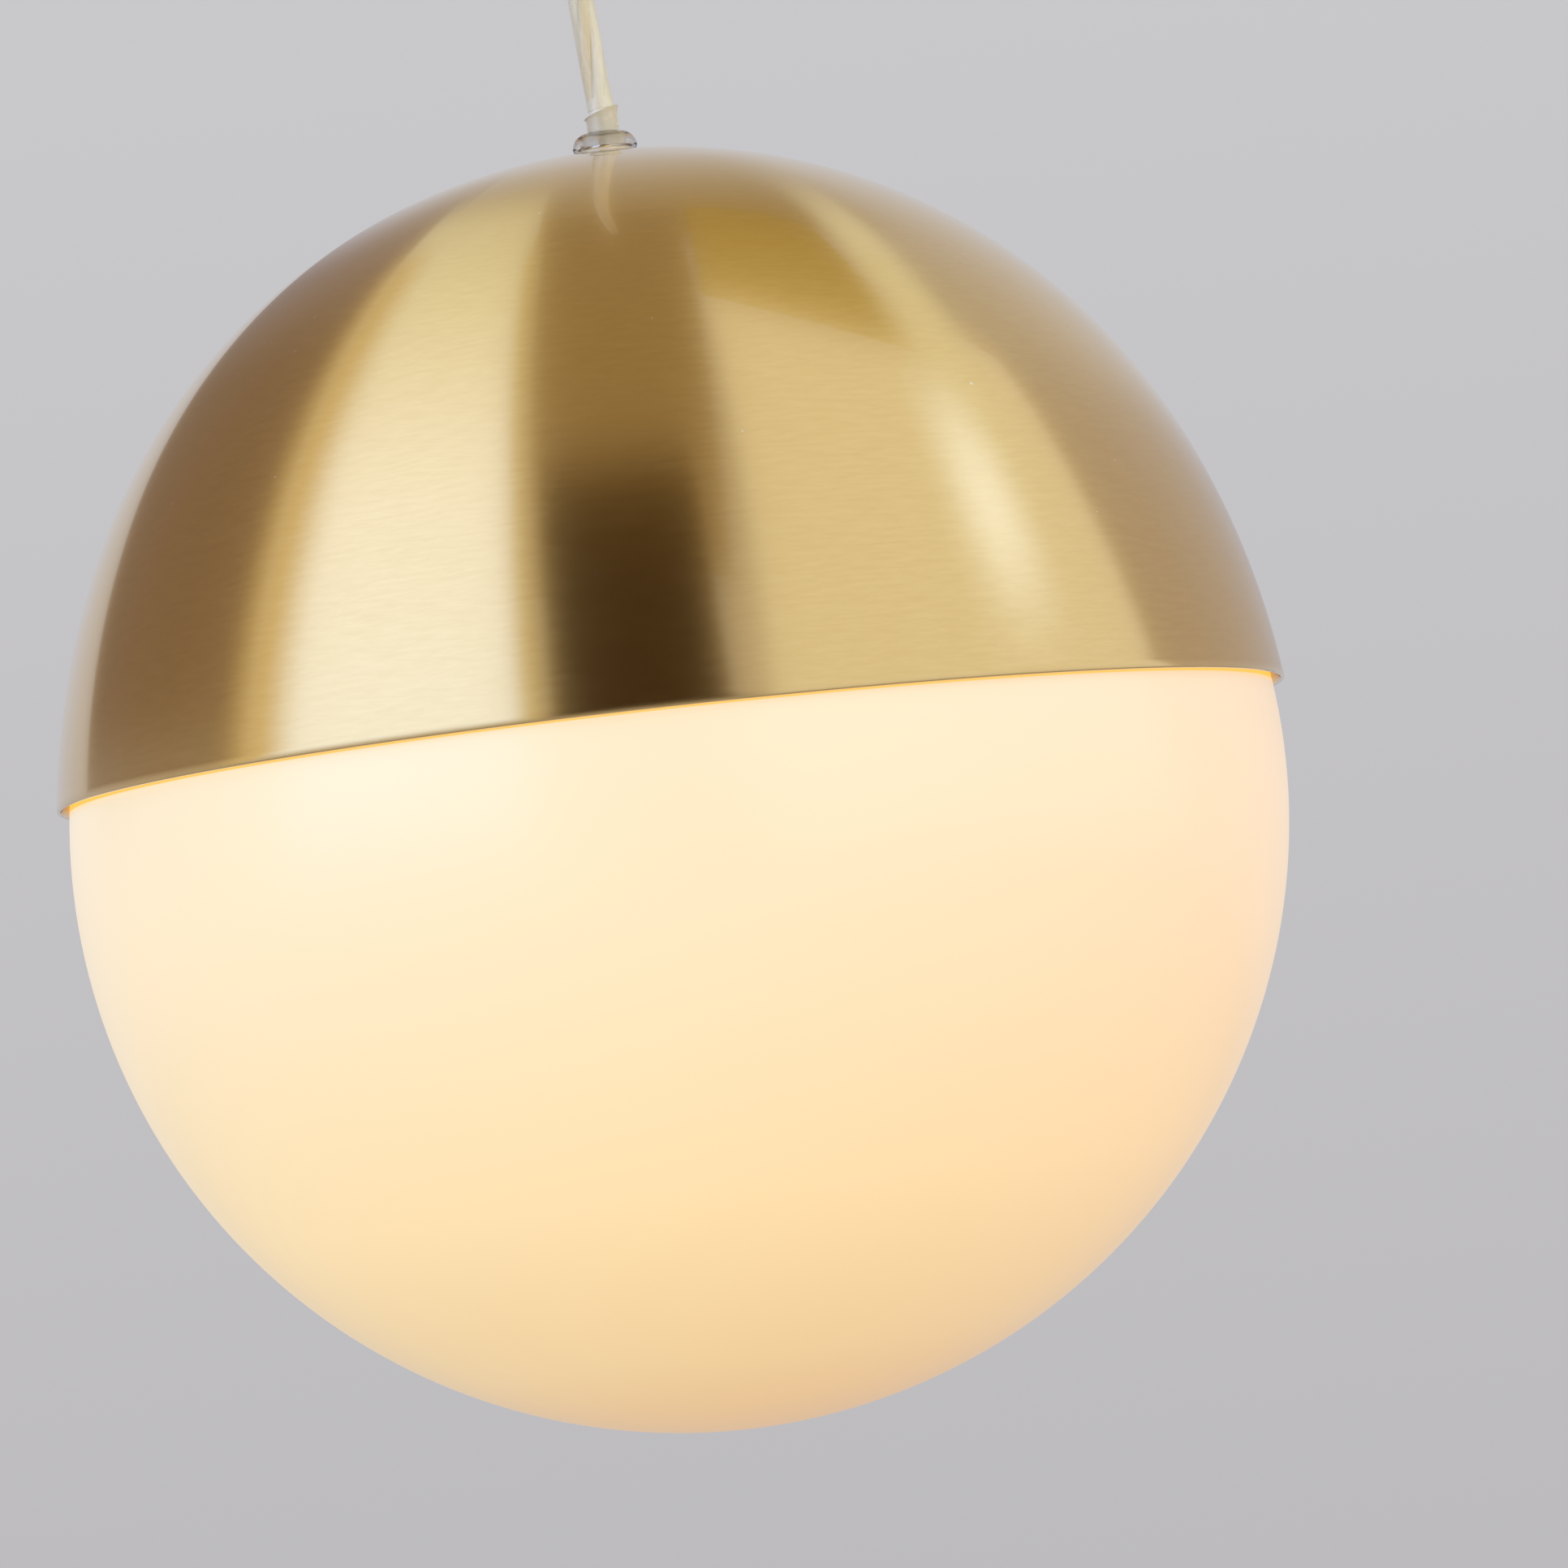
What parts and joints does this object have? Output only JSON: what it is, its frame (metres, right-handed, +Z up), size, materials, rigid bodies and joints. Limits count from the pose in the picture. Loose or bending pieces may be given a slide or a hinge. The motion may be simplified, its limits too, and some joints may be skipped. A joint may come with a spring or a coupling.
{
  "type": "pendant ceiling light",
  "caption": "Pendant light: brushed brass half dome over a lit opal glass globe, hung on a clear round cable from a brass ceiling canopy.",
  "frame": {"origin": "middle of the ceiling strap's top face, on the ceiling", "axes": "+Z up, along the cable and the axis of dome and globe; +X along the ceiling strap"},
  "size_m": [0.3, 0.3, 0.5525],
  "materials": {
    "brushed_brass": "brushed round the axis, clear lacquer",
    "plain_brass": "machined",
    "zinc_steel": "zinc plated, pressed",
    "nickel": "nickel plated",
    "clear_plastic": "clear moulding",
    "clear_flex": "clear PVC sheath over twisted cores",
    "white_plastic": "satin moulding",
    "ceramic": "glazed",
    "fibre": "vulcanised fibre",
    "silicone": "moulded silicone",
    "black_glass": "vitrified insulator",
    "frosted": "diffusing envelope, lit",
    "bulb_aluminium": "stamped",
    "opal_glass": "gloss opal glass, lit from inside",
    "live_core": "PVC",
    "neutral_core": "PVC",
    "earth_core": "PVC"
  },
  "bodies": {
    "ceiling_fitting": {"ceiling_strap": "zinc_steel", "canopy": "brushed_brass", "canopy_screw_left": "plain_brass", "canopy_screw_right": "plain_brass", "strap_earth_screw": "plain_brass", "terminal_block": "white_plastic", "block_screw_1": "plain_brass", "block_screw_2": "plain_brass", "block_screw_3": "plain_brass", "block_fixing_screw": "zinc_steel", "ceiling_cord_grip": "clear_plastic", "grip_locknut": "white_plastic", "grip_screw": "zinc_steel", "cable_tail": "clear_flex", "tail_core_live": "live_core", "tail_core_earth": "earth_core", "tail_core_neutral": "neutral_core"},
    "cable": {"pendant_cable": "clear_flex"},
    "shade": {"brass_dome": "brushed_brass", "crown_nut": "clear_plastic", "top_washer": "clear_plastic", "cable_sleeve": "clear_plastic", "cable_lower_end": "clear_flex", "threaded_tube": "plain_brass", "dome_seat_washer": "fibre", "upper_nut": "plain_brass", "globe_gallery": "zinc_steel", "lock_washer": "zinc_steel", "lower_nut": "plain_brass", "lampholder_cap": "white_plastic", "cap_lock_screw": "zinc_steel", "lampholder_body": "white_plastic", "holder_insert": "ceramic", "lamp_shell": "nickel", "contact_spring": "zinc_steel", "holder_terminal_live": "plain_brass", "terminal_screw_live": "zinc_steel", "core_live": "live_core", "holder_terminal_earth": "plain_brass", "terminal_screw_earth": "zinc_steel", "core_earth": "earth_core", "holder_terminal_neutral": "plain_brass", "terminal_screw_neutral": "zinc_steel", "core_neutral": "neutral_core"},
    "neck_gasket": {"neck_gasket": "silicone"},
    "globe": {"opal_globe": "opal_glass"},
    "centre_contact": {"centre_contact": "plain_brass"},
    "bulb": {"bulb_cap": "nickel", "bulb_insulator": "black_glass", "bulb_tip": "zinc_steel", "bulb_housing": "white_plastic", "bulb_envelope": "frosted", "led_plate": "bulb_aluminium"}
  },
  "joints": [
    {"name": "cable_swing", "type": "hinge", "parent": "ceiling_fitting", "child": "cable", "pos_m": [0, 0, -0.0361], "axis": [0, 1, 0], "range_deg": [-15, 15]},
    {"name": "shade_tilt", "type": "hinge", "parent": "cable", "child": "shade", "pos_m": [0, 0, -0.2291], "axis": [1, 0, 0], "range_deg": [-8, 8]},
    {"name": "globe_drop", "type": "slide", "parent": "shade", "child": "neck_gasket", "axis": [0, 0, -1], "range_m": [0, 0.0075]},
    {"name": "globe_turn", "type": "hinge", "parent": "neck_gasket", "child": "globe", "pos_m": [0, 0, -0.4], "axis": [0, 0, -1], "range_deg": [0, 450]},
    {"name": "contact_follow", "type": "slide", "parent": "shade", "child": "centre_contact", "axis": [0, 0, -1], "range_m": [0, 0.00292], "deforming": ["contact_spring"]},
    {"name": "bulb_turn", "type": "hinge", "parent": "centre_contact", "child": "bulb", "pos_m": [0, 0, -0.34], "axis": [0, 0, -1], "range_deg": [0, 288]}
  ],
  "couplings": [
    {"joint": "globe_drop", "follows": "globe_turn", "m_per_rad": 0.00095493},
    {"joint": "contact_follow", "follows": "bulb_turn", "m_per_rad": 0.00057757}
  ]
}
